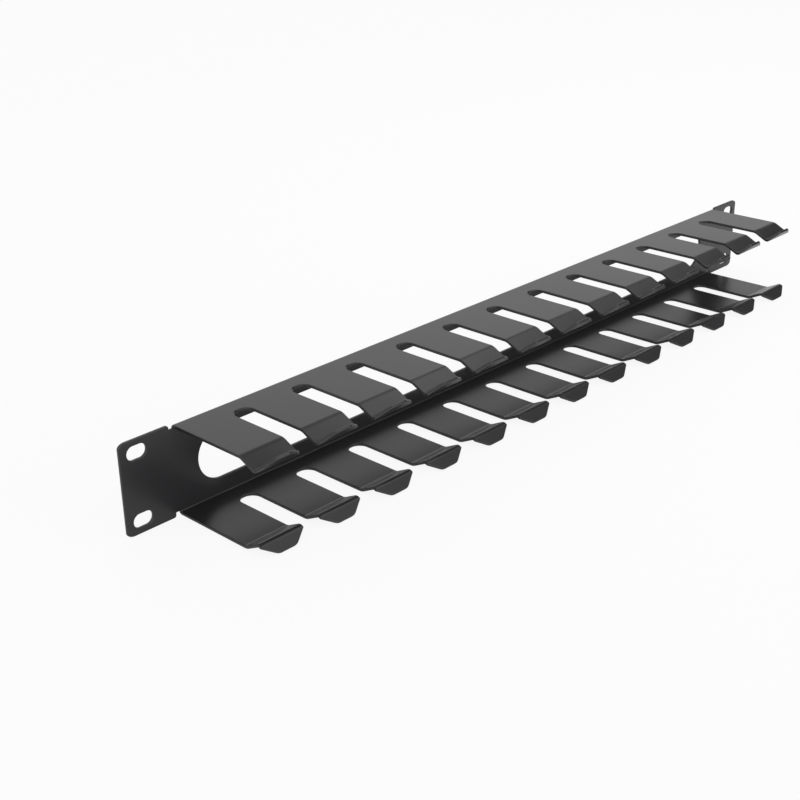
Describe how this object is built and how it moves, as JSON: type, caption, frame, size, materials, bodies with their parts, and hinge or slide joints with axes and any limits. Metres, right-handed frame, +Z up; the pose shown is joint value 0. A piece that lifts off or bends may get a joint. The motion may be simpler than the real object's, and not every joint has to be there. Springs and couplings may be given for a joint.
{
  "type": "horizontal cable manager",
  "caption": "One folded steel channel with rack ears, a long window in its panel and slotted flanges whose fingers end in lips, to guide patch cords across a rack.",
  "frame": {"origin": "centre of the panel's rear face, which meets the rack rails; also the centre of the four rack slots", "axes": "+X along the rack's width to the right as seen from the front, +Y towards the back of the rack, +Z up; the fingers point to -Y"},
  "size_m": [0.4826, 0.0584, 0.0444],
  "materials": {
    "powder_coated_steel": "matt black powder coat, fine texture"
  },
  "bodies": {
    "root": {"fingered_panel": "powder_coated_steel"}
  },
  "joints": []
}
